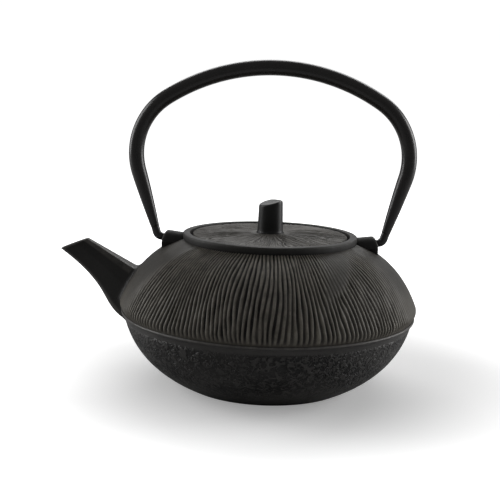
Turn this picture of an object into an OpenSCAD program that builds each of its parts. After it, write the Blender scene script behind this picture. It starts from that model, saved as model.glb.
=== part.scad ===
// Cast iron teapot with a swinging bail, a lift-off lid and a steel infuser.
// Millimetres. Origin at the centre of the foot, +Z up, spout towards -X, bail hinge along X.

/* [Body] */
// Widest diameter, at the belly
belly_d = 165; // [140:1:200]
// Height of the widest line above the foot
belly_z = 46; // [38:0.5:52]
// Height of the mouth collar's top
rim_z = 84; // [76:0.5:100]
// Diameter of the flat foot
foot_d = 94; // [70:1:110]
// Thickness of the cast wall
wall = 3.2; // [2.4:0.1:4]
// Thickness of the floor
floor_t = 3.6; // [2.6:0.1:5]
// Radius of the rounded edge at the belly
belly_edge_r = 4.4; // [2.5:0.1:5.5]
// How far the parting fin stands out
fin_r = 0.8; // [0.4:0.1:1.2]

/* [Mouth] */
// Outer diameter of the collar
collar_d = 97; // [90:0.5:106]
// Height of the collar above the shoulder
collar_h = 4; // [2:0.1:6]
// Diameter of the recess that the lid drops into
seat_d = 88.8; // [84:0.1:92]
// Depth of that recess
seat_depth = 4.2; // [3.4:0.1:6]
// Diameter of the hole below the recess
mouth_d = 80.4; // [70:0.1:82]
// Thickness of the ledge around that hole
ledge_t = 3; // [2:0.1:4]

/* [Ears] */
// Distance from the pot's axis to an ear's outer end
ear_reach = 59.8; // [57:0.2:66]
// Width of an ear
ear_w = 12.4; // [9:0.1:16]
// Height of the bail's hinge axis below the rim
hinge_drop = 3.5; // [2.5:0.1:5]
// Iron above the hinge axis at an ear's outer end
ear_crown = 3.7; // [3:0.1:5]
// Upward tilt of an ear, in degrees
ear_tilt = 7; // [0:1:12]

/* [Spout] */
// Distance from the pot's axis to the pouring lip
spout_reach = 116.7; // [110:0.1:125]
// Height of the pouring lip
lip_z = 72; // [64:0.1:78]
// Length of the slanted mouth, along X
mouth_cut_x = 15; // [10:0.1:18]
// Rise of the slanted mouth
mouth_cut_z = 6; // [4:0.1:9]
// Downward slope of the top edge, in degrees
spout_slope = 30; // [24:0.5:34]
// Height where the underside joins the bowl
spout_root_z = 33.5; // [27:0.5:36]
// Width at the pouring lip
spout_tip_w = 6.4; // [6:0.1:10]
// Width where it joins the pot
spout_root_w = 24; // [18:0.5:30]
// Thickness of the spout's wall
spout_wall = 2.1; // [1.6:0.1:3]

/* [Lid] */
// Gap around the lid
lid_gap = 0.6; // [0.3:0.1:1]
// Thickness at the edge
lid_t = 3; // [2.4:0.1:4]
// Rise of the top towards the middle
lid_rise = 1; // [0:0.1:3]
// Height of the skirt under the lid
skirt_h = 6; // [3:0.5:10]
// Thickness of the skirt
skirt_t = 2.2; // [1.6:0.1:3]
// Gap between the skirt and the infuser
skirt_gap = 0.8; // [0.5:0.1:1.5]
// Diameter of the vent
vent_d = 2.4; // [1.6:0.1:3]
// Distance from the axis to the vent
vent_reach = 32.5; // [20:0.5:33]
// Direction of the vent, in degrees from +X
vent_angle = 57; // [0:1:360]

/* [Knob] */
// Diameter at the bottom
knob_base_d = 14.2; // [11:0.1:18]
// Diameter at the top
knob_top_d = 13.2; // [10:0.1:18]
// Height on the high side
knob_h = 19; // [14:0.1:24]
// Slant of the top, in degrees
knob_slant = 15; // [0:1:25]
// Direction that the slanted top faces, in degrees from +X
knob_facing = 205; // [0:1:360]
// Diameter of the screw
screw_d = 4; // [3:0.1:5]
// Depth of the screw hole in the knob
screw_depth = 10; // [6:0.5:12]
// Clearance around the screw and the bail's spigots, each side
fit_gap = 0.05; // [0.02:0.01:0.1]

/* [Bail] */
// Width across the widest part of the tube's centre line
bail_w = 150; // [140:0.2:170]
// Height of the tube's centre line above the hinge axis
bail_h = 94.3; // [86:0.1:110]
// Diameter of the tube
tube_d = 8.4; // [7:0.1:10]
// Wall of the tube
tube_wall = 0.9; // [0.7:0.1:1.2]
// Radius of the arch's top
crown_r = 107; // [98:0.2:112]
// Radius of the arch's two shoulders
shoulder_r = 36.6; // [32:0.2:42]
// Diameter of the solid bent ends
neck_d = 4.6; // [4:0.1:5.4]
// Bend radius of those ends
elbow_r = 3.2; // [2.9:0.1:5]
// Diameter of the hinge pins
pin_d = 3.4; // [2.8:0.1:4]
// Length of a pin inside its ear
pin_len = 7.4; // [5:0.1:8]
// Running clearance of the pins, each side
pin_gap = 0.09; // [0.02:0.01:0.1]
// Gap between a bent end and its ear
ear_gap = 0.4; // [0.4:0.1:1.2]
// Length of the spigot inside the tube
spigot_len = 8; // [5:0.5:12]
// Straight length of the bent end below the tube
neck_len = 3; // [2:0.5:6]

/* [Infuser] */
// Gap between the mesh side and the mouth
infuser_gap = 1.2; // [0.9:0.1:6]
// Depth below the ledge
infuser_depth = 56; // [40:1:62]
// Thickness of the mesh
mesh_t = 0.5; // [0.4:0.1:0.8]
// Thickness of the pressed rim
rim_t = 0.8; // [0.6:0.1:1.2]
// Gap between the rim's edge and the recess
rim_gap = 0.9; // [0.5:0.1:1.4]
// Thickness of the collar and the band around the mesh
band_t = 0.5; // [0.4:0.1:0.7]
// Height of the collar and the band
band_h = 5; // [3:0.5:8]
// Width of the band's lip under the floor
band_lip = 2.4; // [1.5:0.1:4]

/* [Hidden] */

$fn = 96;
iron = [0.16, 0.155, 0.15];
black = [0.09, 0.085, 0.08];
steel = [0.72, 0.72, 0.7];
past = 1; // how far a cut runs past the face it opens
lap = 0.4; // how far one stretch of the bail runs into the next
swage = 0.02; // each stretch is this much thinner than the one above it, so that their ends seat

belly_r = belly_d / 2;
collar_r = collar_d / 2;
seat_r = seat_d / 2;
mouth_r = mouth_d / 2;
foot_r = foot_d / 2;
ledge_z = rim_z - seat_depth;
shoulder_z = rim_z - collar_h;
hinge_z = rim_z - hinge_drop;

// --- Curves -----------------------------------------------------------------

function quad_curve(a, b, c, steps) =
    [for (i = [0:steps]) let (t = i / steps, s = 1 - t) s * s * a + 2 * s * t * b + t * t * c];

function cubic_curve(a, b, c, d, steps) =
    [for (i = [0:steps]) let (t = i / steps, s = 1 - t)
        s * s * s * a + 3 * s * s * t * b + 3 * s * t * t * c + t * t * t * d];

function arc(centre, r, from, to, steps) =
    [for (i = [0:steps]) let (q = from + (to - from) * i / steps)
        centre + r * [cos(q), sin(q)]];

// --- Body of revolution -----------------------------------------------------

// The dome leaves the belly's rounded edge at this angle above level.
edge_top = 20;
// The rounded edge turns under as far as this angle below level.
edge_bottom = -62;
edge_c = [belly_r - belly_edge_r, belly_z - 1];
dome_foot = edge_c + belly_edge_r * [cos(edge_top), sin(edge_top)];
edge_foot = edge_c + belly_edge_r * [cos(edge_bottom), sin(edge_bottom)];
fin_c = edge_foot + [0.8, -fin_r];
bowl_top = fin_c + [-0.4, -fin_r];

// The collar's foot, and the control points where each curve's two end tangents meet.
dome_top = [collar_r, shoulder_z];
dome_pull = [
    dome_top.x + 0.725 * (dome_foot.x - dome_top.x),
    dome_foot.y + 0.73 * (dome_top.y - dome_foot.y)
];
bowl_foot = [foot_r, 0];
bowl_pull = [
    bowl_top.x - 0.15 * (bowl_top.x - bowl_foot.x),
    0.36 * bowl_top.y
];

collar_round = 1.1;
body_outline = concat(
    [[0, 0]],
    quad_curve(bowl_foot, bowl_pull, bowl_top, 18),
    arc(fin_c, fin_r, -80, 60, 6),
    arc(edge_c, belly_edge_r, edge_bottom + 6, edge_top, 10),
    [for (i = [1:19]) quad_curve(dome_foot, dome_pull, dome_top, 20)[i]],
    [dome_top],
    arc([collar_r - collar_round, rim_z - collar_round], collar_round, 0, 90, 5),
    [[0, rim_z]]
);

// The cavity follows the outside, a wall's thickness in.
in_edge_c = [edge_c.x - wall, edge_c.y - 0.6];
in_dome_foot = in_edge_c + belly_edge_r * [cos(edge_top), sin(edge_top)];
in_edge_foot = in_edge_c + belly_edge_r * [cos(edge_bottom), sin(edge_bottom)];
roof = [mouth_r, ledge_z - ledge_t];
in_dome_pull = dome_pull - wall * [0.7, 0.7];
in_bowl_foot = [foot_r - 0.6 * wall, floor_t];
in_bowl_pull = bowl_pull + wall * [-0.75, 0.62];

cavity_outline = concat(
    [[0, floor_t]],
    quad_curve(in_bowl_foot, in_bowl_pull, in_edge_foot, 16),
    arc(in_edge_c, belly_edge_r, edge_bottom + 8, edge_top, 8),
    [for (i = [1:15]) quad_curve(in_dome_foot, in_dome_pull, roof, 16)[i]],
    [roof, [mouth_r, ledge_z], [seat_r, ledge_z], [seat_r, rim_z + past], [0, rim_z + past]]
);

// --- Ears -------------------------------------------------------------------

ear_r = ear_w / 2;
ear_top_z = hinge_z + ear_crown;
ear_root_x = collar_r - 2;
ear_len = ear_reach - ear_root_x;
ear_bevel = [2.7, 4.6];
bore_r = pin_d / 2 + pin_gap;
bore_depth = pin_len + ear_gap + 0.6;

// A round-topped bar that leans up and outwards, with its outer end trimmed and bevelled.
module ear() {
    intersection() {
        translate([ear_reach - ear_bevel.x, 0, ear_top_z])
            rotate([0, -ear_tilt, 0])
                translate([-ear_len, 0, -ear_r])
                    rotate([90, 0, 90])
                        linear_extrude(2 * ear_len)
                            union() {
                                circle(ear_r);
                                translate([-ear_r, -2 * ear_r])
                                    square([2 * ear_r, 2 * ear_r]);
                            }
        rotate([90, 0, 0])
            linear_extrude(2 * ear_w, center = true)
                polygon([
                    [ear_root_x, ear_top_z - 14],
                    [ear_reach + 0.3, ear_top_z - 14],
                    [ear_reach, ear_top_z - ear_bevel.y],
                    [ear_reach - 0.35 * ear_bevel.x, ear_top_z - 0.4 * ear_bevel.y],
                    [ear_reach - ear_bevel.x, ear_top_z],
                    [ear_root_x, ear_top_z]
                ]);
    }
}

module ear_bore() {
    translate([ear_reach - bore_depth + 0.3, 0, hinge_z])
        rotate([0, 90, 0])
            cylinder(r = bore_r, h = bore_depth + past);
}

// --- Spout ------------------------------------------------------------------

lip = [-spout_reach, lip_z];
beak = lip + [mouth_cut_x, mouth_cut_z];
// The top edge runs down from the mouth's upper corner until it is inside the dome.
root_x = -belly_r + 20;
top_root = [root_x, beak.y - (root_x - beak.x) * tan(spout_slope)];
under_root = [-(belly_r - 3.4), spout_root_z];
under_root_in = [root_x, spout_root_z - 5];
// Pulls of the underside's S-curve.
lip_pull = lip + [30.4, -21.4];
root_pull = under_root + [-15.6, 8.8];

function inset(points, by) = [for (p = points) p + by];

module spout_side(points) {
    rotate([90, 0, 0])
        linear_extrude(2 * spout_root_w, center = true)
            polygon(points);
}

// Plan of the spout: narrow at the lip, widening to the pot. grow is added to each side.
module spout_plan(grow) {
    linear_extrude(rim_z + 10)
        polygon([
            [lip.x - 2, -spout_tip_w / 2 - grow],
            [lip.x - 2, spout_tip_w / 2 + grow],
            [-belly_r, spout_root_w / 2 + grow],
            [root_x + 12, spout_root_w / 2 + grow],
            [root_x + 12, -spout_root_w / 2 - grow],
            [-belly_r, -spout_root_w / 2 - grow]
        ]);
}

module spout_outside() {
    intersection() {
        spout_side(concat(
            [top_root, beak],
            cubic_curve(lip, lip_pull, root_pull, under_root, 18),
            [under_root_in]
        ));
        spout_plan(0);
    }
}

// The channel opens through the slanted mouth and runs on into the cavity.
channel_slope_in = spout_wall * [-sin(spout_slope), -cos(spout_slope)];
channel_under_in = spout_wall * [0.66, 0.75];
channel_lip = lip + [spout_wall * 1.05, -0.1];
mouth_dir = (beak - lip) / norm(beak - lip);
mouth_out = [-mouth_dir.y, mouth_dir.x];
channel_beak = beak - mouth_dir * spout_wall * 1.2;
channel_root_x = root_x + 8;

module spout_channel() {
    intersection() {
        spout_side(concat(
            [
                [channel_root_x,
                    channel_beak.y - (channel_root_x - channel_beak.x) * tan(spout_slope)],
                channel_beak,
                channel_beak + 6 * mouth_out,
                channel_lip + 6 * mouth_out
            ],
            cubic_curve(channel_lip, lip_pull + channel_under_in, root_pull + 1.6 * channel_under_in,
                [under_root.x + 6, spout_root_z + 8], 18),
            [[channel_root_x, spout_root_z + 8]]
        ));
        spout_plan(-spout_wall);
    }
}

module pot_body() {
    color(iron)
        difference() {
            union() {
                rotate_extrude() polygon(body_outline);
                ear();
                mirror([1, 0, 0]) ear();
                spout_outside();
            }
            rotate_extrude() polygon(cavity_outline);
            spout_channel();
            ear_bore();
            mirror([1, 0, 0]) ear_bore();
        }
}

// --- Lid and knob -----------------------------------------------------------

lid_r = seat_r - lid_gap;
lid_z = ledge_z + rim_t;
lid_top_z = lid_z + lid_t + lid_rise;
pad_r = knob_base_d / 2 + 1;
infuser_r = mouth_r - infuser_gap;
skirt_r = infuser_r - mesh_t - skirt_gap;
screw_hole_r = screw_d / 2 + fit_gap;
edge_round = 0.6;

module lid() {
    color(iron)
        difference() {
            rotate_extrude()
                polygon(concat(
                    [[0, lid_z], [skirt_r - skirt_t, lid_z], [skirt_r - skirt_t, lid_z - skirt_h],
                        [skirt_r, lid_z - skirt_h], [skirt_r, lid_z], [lid_r, lid_z]],
                    arc([lid_r - edge_round, lid_z + lid_t - edge_round], edge_round, 0, 80, 4),
                    [for (i = [1:8]) let (r = lid_r - edge_round - (lid_r - edge_round - pad_r) * i / 8)
                        [r, lid_z + lid_t + lid_rise * (1 - pow((r - pad_r) / (lid_r - pad_r), 2))]],
                    [[0, lid_top_z]]
                ));
            translate([0, 0, lid_z - past])
                cylinder(r = screw_hole_r, h = lid_t + lid_rise + 2 * past);
            rotate(vent_angle)
                translate([vent_reach, 0, lid_z - past])
                    cylinder(d = vent_d, h = lid_t + lid_rise + 2 * past, $fn = 32);
        }
}

module lid_knob() {
    color(black)
        translate([0, 0, lid_top_z])
            difference() {
                cylinder(d1 = knob_base_d, d2 = knob_top_d, h = knob_h);
                rotate(knob_facing)
                    translate([-knob_top_d / 2, 0, knob_h])
                        rotate([0, knob_slant, 0])
                            translate([0, -knob_base_d, 0])
                                cube([2 * knob_base_d, 2 * knob_base_d, knob_h]);
                translate([0, 0, -past])
                    cylinder(r = screw_hole_r, h = screw_depth + past);
            }
}

washer_t = 0.8;
washer_r = screw_d * 1.2;
head_h = 0.55 * screw_d;
head_r = 0.95 * screw_d;
screw_tip_gap = 1.5;

module knob_screw() {
    color(steel)
        translate([0, 0, lid_z - washer_t])
            difference() {
                union() {
                    translate([0, 0, -head_h]) cylinder(r = head_r, h = head_h);
                    cylinder(
                        d = screw_d,
                        h = washer_t + lid_t + lid_rise + screw_depth - screw_tip_gap
                    );
                }
                translate([-head_r, -0.4, -head_h - past]) cube([2 * head_r, 0.8, past + 1]);
            }
}

module knob_washer() {
    color(steel)
        translate([0, 0, lid_z - washer_t])
            difference() {
                cylinder(r = washer_r, h = washer_t);
                translate([0, 0, -past]) cylinder(r = screw_hole_r, h = washer_t + 2 * past);
            }
}

// --- Bail -------------------------------------------------------------------

// Centre line in the XZ plane, right half: an arch, a shoulder, a straight leg and an elbow.
arch_c = [0, hinge_z + bail_h - crown_r];
bail_half = bail_w / 2;
turn_c = [
    bail_half - shoulder_r,
    arch_c.y + sqrt(pow(crown_r - shoulder_r, 2) - pow(bail_half - shoulder_r, 2))
];
arch_half_angle = asin((bail_half - shoulder_r) / (crown_r - shoulder_r));
// The leg is the tangent from the shoulder to the corner on the hinge axis.
neck_r = neck_d / 2;
corner_back = elbow_r * tan(36);
leg_corner = [ear_reach + ear_gap + corner_back, hinge_z];
corner_to_turn = turn_c - leg_corner;
leg_full = sqrt(pow(norm(corner_to_turn), 2) - pow(shoulder_r, 2));
lean = asin(shoulder_r / norm(corner_to_turn)) + atan2(corner_to_turn.x, corner_to_turn.y);
elbow_back = elbow_r * tan((90 - lean) / 2);
elbow_c = leg_corner + [-elbow_back, elbow_r];
tube_start = elbow_back + neck_len;
tube_r = tube_d / 2;

// A stretch of torus whose centre line lies in the XZ plane.
module bend(centre, r, from, to, section_r) {
    translate([centre.x, 0, centre.y])
        rotate([90, 0, 0])
            rotate_extrude(angle = to - from, start = from)
                translate([r, 0]) circle(section_r);
}

// A round bar up the leg's line, from one distance above the corner to another.
module leg_bar(from, to, r_from, r_to) {
    translate([leg_corner.x, 0, leg_corner.y])
        rotate([0, lean, 0])
            translate([0, 0, from])
                cylinder(r1 = r_from, r2 = r_to, h = to - from);
}

module both_sides() {
    children();
    mirror([1, 0, 0]) children();
}

// The bent part of the tube, solid, at a given radius: an arch and two shoulders.
module bail_arch(r) {
    lap_angle = lap / shoulder_r * 180 / PI;
    bend(arch_c, crown_r, 90 - arch_half_angle, 90 + arch_half_angle, r);
    both_sides()
        bend(turn_c, shoulder_r, -lean, 90 - arch_half_angle + lap_angle, r - swage);
}

module bail_tube() {
    socket_r = neck_r - tube_wall + fit_gap;
    socket_end = tube_start + spigot_len + 0.5;
    color(black)
        difference() {
            union() {
                bail_arch(tube_r);
                both_sides()
                    leg_bar(tube_start, leg_full + lap, neck_r, tube_r - 2 * swage);
            }
            bail_arch(tube_r - tube_wall);
            both_sides() {
                leg_bar(tube_start - past, socket_end + lap, socket_r, socket_r);
                leg_bar(socket_end, leg_full + lap, socket_r + swage, tube_r - tube_wall - 2 * swage);
            }
        }
}

// A solid end: spigot in the tube, short neck, elbow, and the pin that turns in the ear.
module bail_pin() {
    elbow_run = 3;
    color(black)
        union() {
            leg_bar(tube_start, tube_start + spigot_len, neck_r - tube_wall, neck_r - tube_wall);
            leg_bar(elbow_back, tube_start, neck_r, neck_r);
            bend(elbow_c, elbow_r, -90, elbow_run - lean, neck_r - swage);
            translate([elbow_c.x + lap, 0, hinge_z])
                rotate([0, -90, 0])
                    cylinder(d = pin_d, h = elbow_c.x + lap - ear_reach + pin_len);
        }
}

module bail_pin_spout() {
    mirror([1, 0, 0]) bail_pin();
}

module bail_pin_rear() {
    bail_pin();
}

// --- Infuser ----------------------------------------------------------------

infuser_floor_z = ledge_z - infuser_depth;
band_in_r = infuser_r + fit_gap;
band_out_r = band_in_r + band_t;

module ring(outer, inner, z, h) {
    rotate_extrude()
        translate([inner, z]) square([outer - inner, h]);
}

module infuser_rim() {
    color(steel)
        union() {
            ring(seat_r - rim_gap, infuser_r - mesh_t, ledge_z, rim_t);
            ring(band_out_r, band_in_r, ledge_z - band_h, band_h);
        }
}

module infuser_wall() {
    color(steel)
        ring(infuser_r, infuser_r - mesh_t, infuser_floor_z + mesh_t, infuser_depth - mesh_t);
}

module infuser_base() {
    color(steel)
        translate([0, 0, infuser_floor_z])
            cylinder(r = infuser_r, h = mesh_t);
}

module infuser_band() {
    color(steel)
        union() {
            ring(band_out_r, band_in_r, infuser_floor_z - band_t, band_h);
            ring(band_out_r, infuser_r - band_lip, infuser_floor_z - band_t, band_t);
        }
}

pot_body();
lid();
lid_knob();
knob_screw();
knob_washer();
bail_tube();
bail_pin_spout();
bail_pin_rear();
infuser_rim();
infuser_wall();
infuser_base();
infuser_band();
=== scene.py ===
# %% [markdown]
# # A cast iron teapot, piece by piece
#
# The pot is a squat iron casting: a grooved dome above a pebbled bowl, with a thin fin where
# the two halves of the mould met. A flat grooved lid with a peg knob drops into its collar, a
# steel infuser hangs below the lid, and a black enamelled bail swings in two ears.
#
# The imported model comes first, as a fixed frame. Everything after it is in metres in that
# frame, so each new surface lands where its plain counterpart is.

# %% Load the frame
import math

import bpy
import numpy as np
from mathutils import Matrix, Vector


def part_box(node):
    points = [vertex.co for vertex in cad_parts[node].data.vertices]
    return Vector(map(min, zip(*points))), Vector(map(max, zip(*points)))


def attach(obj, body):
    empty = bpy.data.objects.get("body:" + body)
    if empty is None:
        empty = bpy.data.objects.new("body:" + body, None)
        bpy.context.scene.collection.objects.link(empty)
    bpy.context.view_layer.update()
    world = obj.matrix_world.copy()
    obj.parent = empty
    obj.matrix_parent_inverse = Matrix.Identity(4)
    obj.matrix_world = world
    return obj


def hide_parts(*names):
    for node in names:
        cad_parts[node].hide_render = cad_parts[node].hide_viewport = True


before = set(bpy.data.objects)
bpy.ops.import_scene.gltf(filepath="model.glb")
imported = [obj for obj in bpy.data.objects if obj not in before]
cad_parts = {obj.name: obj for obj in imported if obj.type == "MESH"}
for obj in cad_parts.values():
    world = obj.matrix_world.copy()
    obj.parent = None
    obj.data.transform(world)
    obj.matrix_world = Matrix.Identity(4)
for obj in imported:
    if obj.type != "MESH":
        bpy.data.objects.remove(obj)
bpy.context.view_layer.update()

# %% [markdown]
# ## The camera
#
# A product view: a little above the rim, square to the spout, with a moderately long lens.
# The camera's turn is built from its yaw, its pitch and a slight roll, as three unit vectors
# that become the columns of its matrix. This says plainly where right, up and forward are.

# %% Camera
MM = 0.001
CAMERA_BACK, CAMERA_UP = 522.8, 164.4
YAW, PITCH, ROLL = math.radians(-1.226), math.radians(9.402), math.radians(1.667)

forward = np.array([
    math.sin(YAW) * math.cos(PITCH), math.cos(YAW) * math.cos(PITCH), -math.sin(PITCH)
])
level = np.array([math.cos(YAW), -math.sin(YAW), 0.0])
upright = np.cross(level, forward)
right = math.cos(ROLL) * level + math.sin(ROLL) * upright
up = -math.sin(ROLL) * level + math.cos(ROLL) * upright

lens = bpy.data.cameras.new("camera")
lens.sensor_width = 36.0
lens.lens = 68.32
lens.shift_x, lens.shift_y = 0.0008, 0.0021
lens.clip_start = 0.01
camera = bpy.data.objects.new("camera", lens)
turn = np.column_stack([right, up, -forward])
camera.matrix_world = (
    Matrix.Translation((0.0, -CAMERA_BACK * MM, CAMERA_UP * MM)) @ Matrix(turn.tolist()).to_4x4()
)
bpy.context.scene.collection.objects.link(camera)
bpy.context.scene.camera = camera
print("camera looks down by", round(math.degrees(PITCH), 1), "degrees")

# %% [markdown]
# ## Curves, rings and meshes
#
# Nearly every piece here is one grid of points. The rows follow a profile and the columns run
# round it, so a whole surface is a few array sums. Four helpers do the work: curves for the
# profiles, a turning function like a potter's wheel, soft ripples for anything that a hand or
# a sand mould left uneven, and one function that puts a finished grid into a mesh.

# %% Curves as arrays
def quad_curve(a, b, c, n):
    """s squared times a, plus 2 s t times b, plus t squared times c, with s = 1 - t."""
    t = np.linspace(0, 1, n)[:, None]
    return (1 - t) ** 2 * np.array(a) + 2 * t * (1 - t) * np.array(b) + t ** 2 * np.array(c)


def cubic_curve(a, b, c, d, t):
    """The four points weighted by s^3, 3 s^2 t, 3 s t^2 and t^3, with s = 1 - t."""
    t = np.asarray(t)[..., None]
    s = 1 - t
    a, b, c, d = (np.array(p) for p in (a, b, c, d))
    return s ** 3 * a + 3 * s * s * t * b + 3 * s * t * t * c + t ** 3 * d


def arc(centre, radius, start, end, n):
    """Centre plus radius times (cos q, sin q), for q from start to end in degrees."""
    q = np.radians(np.linspace(start, end, n))
    return np.array(centre) + radius * np.column_stack([np.cos(q), np.sin(q)])


def even_steps(points, n):
    """The same line, with n points at equal distances along it."""
    gaps = np.linalg.norm(np.diff(points, axis=0), axis=1)
    along = np.concatenate([[0], np.cumsum(gaps)])
    want = np.linspace(0, along[-1], n)
    return np.column_stack([np.interp(want, along, points[:, k]) for k in range(points.shape[1])])


def smooth_step(low, high, x):
    """0 below low, 1 above high, and 3u^2 - 2u^3 between them."""
    u = np.clip((x - low) / (high - low), 0, 1)
    return u * u * (3 - 2 * u)


# %% Turning, ripples and meshes
def around(n):
    return np.arange(n) * 2 * np.pi / n


def turned(profile, angles, lift=0.0):
    """(r cos a, r sin a, z) for each profile point and angle, moved by lift along the profile's normal.

    A profile that runs down an outside wall has its normal (-dz, dr) pointing outwards.
    """
    step = np.gradient(profile, axis=0)
    step /= np.maximum(np.linalg.norm(step, axis=1, keepdims=True), 1e-9)
    r = profile[:, :1] - step[:, 1:] * lift
    z = profile[:, 1:] + step[:, :1] * lift
    r, z, a = np.broadcast_arrays(r, z, angles[None, :])
    return np.stack([r * np.cos(a), r * np.sin(a), z], axis=2)


def ripple(a, s, turns, along, seed, waves=14):
    """Mean of cosines cos(k a + 2 pi m s + phase), k whole numbers of turns and m waves along s."""
    rng = np.random.default_rng(seed)
    k = rng.integers(turns[0], turns[1] + 1, waves)
    m = rng.uniform(along[0], along[1], waves) * rng.choice([-1, 1], waves)
    phase = rng.uniform(0, 2 * np.pi, waves)
    total = sum(np.cos(k[i] * a + 2 * np.pi * m[i] * s + phase[i]) for i in range(waves))
    return total / math.sqrt(waves)


def make_piece(name, points, body, nodes, material, tips=(None, None), loop=False,
               masks=None, crease=None):
    """A mesh from a grid of points in mm: rows by columns, the columns closed round.

    tips are single points that close the first and the last row, loop joins the last row to
    the first, masks are attributes of one number a point, and edges sharper than crease
    degrees stay sharp. Faces are turned outwards by the sign of the volume about the middle.
    """
    rows, cols = points.shape[:2]
    i = np.arange(rows if loop else rows - 1)[:, None]
    j = np.arange(cols)[None, :]
    across, down = (j + 1) % cols, (i + 1) % rows
    quads = np.stack([i * cols + j, i * cols + across, down * cols + across, down * cols + j],
                     axis=2).reshape(-1, 4)
    verts = points.reshape(-1, 3)
    ring = np.arange(cols)
    fans = []
    if tips[0] is not None:
        fans.append(np.column_stack([(ring + 1) % cols, ring, np.full(cols, len(verts))]))
        verts = np.vstack([verts, tips[0]])
    if tips[1] is not None:
        last = (rows - 1) * cols
        fans.append(np.column_stack([last + ring, last + (ring + 1) % cols,
                                     np.full(cols, len(verts))]))
        verts = np.vstack([verts, tips[1]])
    middle = verts.mean(axis=0)
    corner = verts[quads] - middle
    volume = np.einsum("ij,ij->i", corner[:, 0], np.cross(corner[:, 1], corner[:, 2])).sum()
    volume += np.einsum("ij,ij->i", corner[:, 0], np.cross(corner[:, 2], corner[:, 3])).sum()
    faces = [f for block in [quads, *fans] for f in (block if volume > 0 else block[:, ::-1]).tolist()]
    return finish_mesh(name, verts, faces, body, nodes, material, masks, crease)


def finish_mesh(name, verts, faces, body, nodes, material, masks=None, crease=None):
    """Puts points in mm and faces into a mesh, shades it and ties it to its body."""
    mesh = bpy.data.meshes.new(name)
    mesh.from_pydata((np.asarray(verts) * MM).tolist(), [], faces)
    mesh.shade_smooth()
    if crease is not None:
        mesh.set_sharp_from_angle(angle=math.radians(crease))
    for label, values in (masks or {}).items():
        filled = np.zeros(len(mesh.vertices), np.float32)
        filled[:values.size] = np.asarray(values, np.float32).ravel()
        mesh.attributes.new(label, "FLOAT", "POINT").data.foreach_set("value", filled)
    mesh.materials.append(material)
    piece = bpy.data.objects.new(name, mesh)
    bpy.context.scene.collection.objects.link(piece)
    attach(piece, body)
    if nodes:
        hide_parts(*nodes)
    print(f"{name}: {len(mesh.polygons)} faces")
    return piece


# %% [markdown]
# ## Finishes
#
# The pot has one family of finishes. Sand-cast iron has a fine grain from the mould, and a
# thin dark glaze of uneven tone; painted shade darkens its hollows, and painted highlights with
# some wear lighten its edges and ridges. The bail is smooth stoved enamel, and the infuser is
# bare steel. Three effects are shared, so each is a node group built once: the sand grain, the
# glaze's uneven tone, and the painted highlights with wear along edges and ridges.
# Each group gives only masks and heights; the shader stays in the material.

# %% Small node helpers
def add_node(tree, kind, settings=None, **inputs):
    """A node with its settings and its input sockets filled; a socket value may be a link."""
    node = tree.nodes.new(kind)
    for key, value in (settings or {}).items():
        setattr(node, key, value)
    for key, value in inputs.items():
        socket = node.inputs[int(key[1:])] if key[0] == "_" else node.inputs[key.replace("_", " ")]
        if isinstance(value, bpy.types.NodeSocket):
            tree.links.new(value, socket)
        else:
            socket.default_value = value
    return node


def new_group(name, inputs, outputs):
    tree = bpy.data.node_groups.new(name, "ShaderNodeTree")
    for label, value in inputs:
        socket = tree.interface.new_socket(label, in_out="INPUT", socket_type="NodeSocketFloat")
        socket.default_value = value
    for label in outputs:
        tree.interface.new_socket(label, in_out="OUTPUT", socket_type="NodeSocketFloat")
    return tree, tree.nodes.new("NodeGroupInput"), tree.nodes.new("NodeGroupOutput")


def place_group(tree, group, **inputs):
    node = tree.nodes.new("ShaderNodeGroup")
    node.node_tree = group
    for key, value in inputs.items():
        socket = node.inputs[key.replace("_", " ")]
        if isinstance(value, bpy.types.NodeSocket):
            tree.links.new(value, socket)
        else:
            socket.default_value = value
    return node


def maths(tree, operation, a, b=0.0, clamp=False):
    node = add_node(tree, "ShaderNodeMath", {"operation": operation, "use_clamp": clamp}, _0=a, _1=b)
    return node.outputs[0]


def blend_colours(tree, factor, a, b):
    """The first colour where factor is 0, the second where it is 1."""
    node = tree.nodes.new("ShaderNodeMix")
    node.data_type = "RGBA"
    sockets = {"Factor": node.inputs[0], "A": node.inputs[6], "B": node.inputs[7]}
    for key, value in (("Factor", factor), ("A", a), ("B", b)):
        if isinstance(value, bpy.types.NodeSocket):
            tree.links.new(value, sockets[key])
        else:
            sockets[key].default_value = value if key == "Factor" else (*value, 1.0)
    return node.outputs[2]


# %% Sand grain group
def build_sand_grain():
    """Height = a fine noise plus a coarser one, each times its own amount."""
    tree, given, out = new_group(
        "sand_grain", [("Grain Size", 0.5), ("Grain", 1.0), ("Swell", 0.6)], ["Height", "Specks"])
    place = add_node(tree, "ShaderNodeTexCoord").outputs["Object"]
    scale = maths(tree, "DIVIDE", 1000.0, given.outputs["Grain Size"])
    fine = add_node(tree, "ShaderNodeTexNoise", None, Vector=place, Scale=scale, Detail=3.0,
                    Roughness=0.6).outputs["Fac"]
    coarse = add_node(tree, "ShaderNodeTexNoise", None, Vector=place,
                      Scale=maths(tree, "MULTIPLY", scale, 0.17), Detail=2.0).outputs["Fac"]
    height = maths(tree, "ADD", maths(tree, "MULTIPLY", fine, given.outputs["Grain"]),
                   maths(tree, "MULTIPLY", coarse, given.outputs["Swell"]))
    tree.links.new(height, out.inputs["Height"])
    specks = add_node(tree, "ShaderNodeMapRange", None, Value=fine)
    specks.inputs["From Min"].default_value = 0.6
    specks.inputs["From Max"].default_value = 0.78
    tree.links.new(specks.outputs[0], out.inputs["Specks"])
    return tree


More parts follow.
